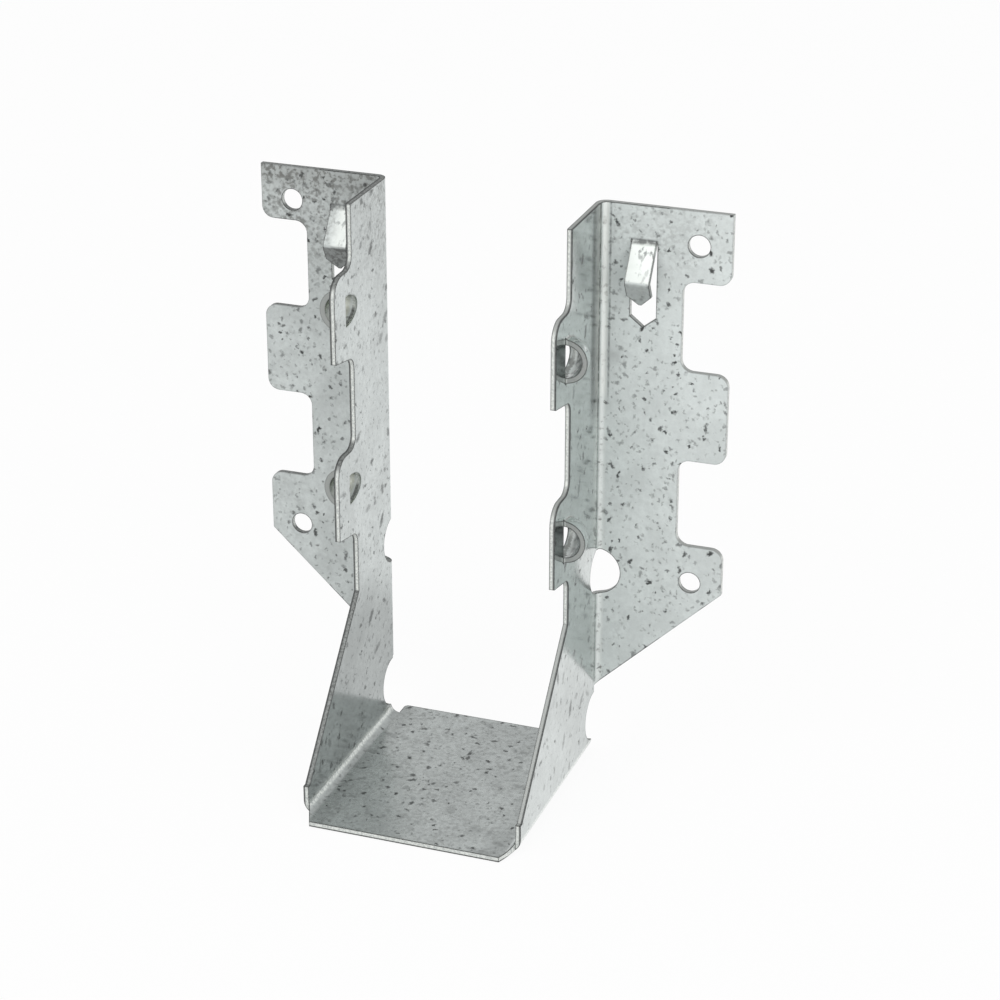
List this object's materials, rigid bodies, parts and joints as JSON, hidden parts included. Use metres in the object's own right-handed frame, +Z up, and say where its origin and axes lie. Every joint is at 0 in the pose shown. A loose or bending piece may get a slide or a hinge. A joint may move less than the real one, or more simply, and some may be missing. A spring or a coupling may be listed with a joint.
{
  "type": "joist hanger",
  "caption": "Folded sheet-steel face-mount joist hanger: U seat with side walls, notched outward flanges, domed nail guides, hooked prongs.",
  "frame": {"origin": "middle of the hanger, where the header face plane (backs of the flanges) meets the plane of the seat's underside", "axes": "+Z up, +Y into the header, +X to the right seen from the front, where the joist comes from"},
  "size_m": [0.0888, 0.047, 0.108],
  "materials": {
    "galvanised_sheet": "hot-dip galvanised, matte spangle"
  },
  "bodies": {
    "root": {"joist_hanger": "galvanised_sheet"}
  },
  "joints": []
}
